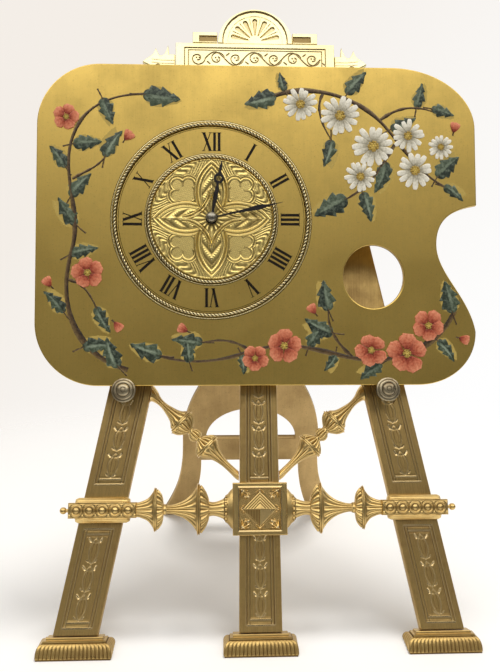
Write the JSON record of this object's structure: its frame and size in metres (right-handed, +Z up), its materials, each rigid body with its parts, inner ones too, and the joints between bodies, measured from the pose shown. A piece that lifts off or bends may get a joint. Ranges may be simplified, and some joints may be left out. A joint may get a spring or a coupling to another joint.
{
  "type": "strut clock",
  "caption": "Brass strut clock: an engraved easel on a hinged strut carries an artist's palette with a dial, rope rings and a geared spring movement",
  "frame": {"origin": "on the table at the middle of the centre foot's underside, on the easel's front plane", "axes": "+Z up, the dial faces -Y, +X to the right as seen from the front"},
  "size_m": [0.198, 0.1429, 0.2819],
  "materials": {
    "blued_steel": "dark blued",
    "bright_brass": "polished",
    "gilt": "gilt and stippled",
    "leg_brass": "engraved and browned",
    "nickel": "silvered",
    "palette_brass": "satin with vertical graining",
    "steel": "fine ground",
    "strut_brass": "plain satin",
    "train_brass": "plain turned"
  },
  "bodies": {
    "easel": {"back_cover": "train_brass", "back_plate": "train_brass", "case_screw_1": "steel", "case_screw_2": "steel", "case_screw_3": "steel", "centre_foot": "bright_brass", "centre_post": "leg_brass", "click_spring": "steel", "crest_fan": "bright_brass", "crest_panel": "bright_brass", "cross_rail": "bright_brass", "dial_rosette": "gilt", "front_plate": "train_brass", "hairspring": "blued_steel", "hinge_pin": "steel", "inner_rope_ring": "gilt", "left_brace": "bright_brass", "left_bracket_screw": "steel", "left_foot": "bright_brass", "left_leaf": "bright_brass", "left_leg": "leg_brass", "left_stud": "nickel", "left_stud_nut": "nickel", "movement_case": "train_brass", "outer_rope_ring": "gilt", "palette": "palette_brass", "plate_screw_1": "steel", "plate_screw_2": "steel", "plate_screw_3": "steel", "right_brace": "bright_brass", "right_bracket_screw": "steel", "right_foot": "bright_brass", "right_leaf": "bright_brass", "right_leg": "leg_brass", "right_stud": "nickel", "right_stud_nut": "nickel", "strut_bracket": "bright_brass"},
    "strut": {"strut": "strut_brass"},
    "minute": {"centre_arbor": "steel", "minute_hand": "blued_steel", "hand_collet": "nickel", "hand_set_knob": "train_brass"},
    "minute_wheel": {"minute_wheel": "train_brass"},
    "hour": {"hour_wheel": "train_brass", "hour_hand": "blued_steel"},
    "barrel": {"barrel": "train_brass", "barrel_cap": "train_brass", "mainspring": "blued_steel"},
    "winder": {"barrel_arbor": "steel", "ratchet_wheel": "steel", "winding_key": "bright_brass"},
    "click": {"click": "steel"},
    "centre_wheel": {"centre_wheel": "train_brass"},
    "third_wheel": {"third_wheel": "train_brass"},
    "fourth_wheel": {"fourth_wheel": "train_brass"},
    "escape_wheel": {"escape_wheel": "steel"},
    "pallet_lever": {"pallet_lever": "steel"},
    "balance": {"balance_wheel": "train_brass"}
  },
  "joints": [
    {"name": "strut_fold", "type": "hinge", "parent": "easel", "child": "strut", "pos_m": [0, 0.07457, 0.16401], "axis": [1, 0, 0], "range_deg": [-42, 0]},
    {"name": "minute_turn", "type": "hinge", "parent": "easel", "child": "minute", "pos_m": [-0.0212, 0.05514, 0.18064], "axis": [0, 0.9659, -0.2588], "continuous": true},
    {"name": "minute_wheel_turn", "type": "hinge", "parent": "easel", "child": "minute_wheel", "pos_m": [-0.0128, 0.05804, 0.17987], "axis": [0, 0.9659, -0.2588], "continuous": true},
    {"name": "hour_turn", "type": "hinge", "parent": "easel", "child": "hour", "pos_m": [-0.0212, 0.05321, 0.18116], "axis": [0, 0.9659, -0.2588], "continuous": true},
    {"name": "fourth_turn", "type": "hinge", "parent": "easel", "child": "fourth_wheel", "pos_m": [-0.02315, 0.06534, 0.18973], "axis": [0, 0.9659, -0.2588], "continuous": true},
    {"name": "third_turn", "type": "hinge", "parent": "easel", "child": "third_wheel", "pos_m": [-0.01674, 0.06342, 0.18641], "axis": [0, 0.9659, -0.2588], "continuous": true},
    {"name": "centre_turn", "type": "hinge", "parent": "easel", "child": "centre_wheel", "pos_m": [-0.0212, 0.0619, 0.17883], "axis": [0, 0.9659, -0.2588], "continuous": true},
    {"name": "barrel_turn", "type": "hinge", "parent": "easel", "child": "barrel", "pos_m": [-0.0212, 0.05804, 0.16636], "axis": [0, 0.9659, -0.2588], "continuous": true},
    {"name": "escape_turn", "type": "hinge", "parent": "easel", "child": "escape_wheel", "pos_m": [-0.0298, 0.0642, 0.19125], "axis": [0, 0.9659, -0.2588], "continuous": true},
    {"name": "lever_rock", "type": "hinge", "parent": "easel", "child": "pallet_lever", "pos_m": [-0.03459, 0.06374, 0.18956], "axis": [0, 0.9659, -0.2588], "range_deg": [-5, 5]},
    {"name": "balance_swing", "type": "hinge", "parent": "easel", "child": "balance", "pos_m": [-0.03712, 0.06339, 0.18246], "axis": [0, 0.9659, -0.2588], "range_deg": [-220, 220], "stiffness_Nm_per_rad": 0.0000017},
    {"name": "winder_turn", "type": "hinge", "parent": "easel", "child": "winder", "pos_m": [-0.0212, 0.06336, 0.16493], "axis": [0, 0.9659, -0.2588], "continuous": true},
    {"name": "click_lift", "type": "hinge", "parent": "easel", "child": "click", "pos_m": [-0.0117, 0.0632, 0.16936], "axis": [0, 0.9659, -0.2588], "range_deg": [-15, 0], "stiffness_Nm_per_rad": 0.00002, "springref_deg": 17.19}
  ],
  "couplings": [
    {"joint": "minute_wheel_turn", "follows": "minute_turn", "ratio": -0.33333},
    {"joint": "hour_turn", "follows": "minute_turn", "ratio": 0.083333},
    {"joint": "third_turn", "follows": "fourth_turn", "ratio": -0.13333},
    {"joint": "centre_turn", "follows": "fourth_turn", "ratio": 0.016667},
    {"joint": "barrel_turn", "follows": "fourth_turn", "ratio": -0.0034722},
    {"joint": "escape_turn", "follows": "fourth_turn", "ratio": -8}
  ]
}
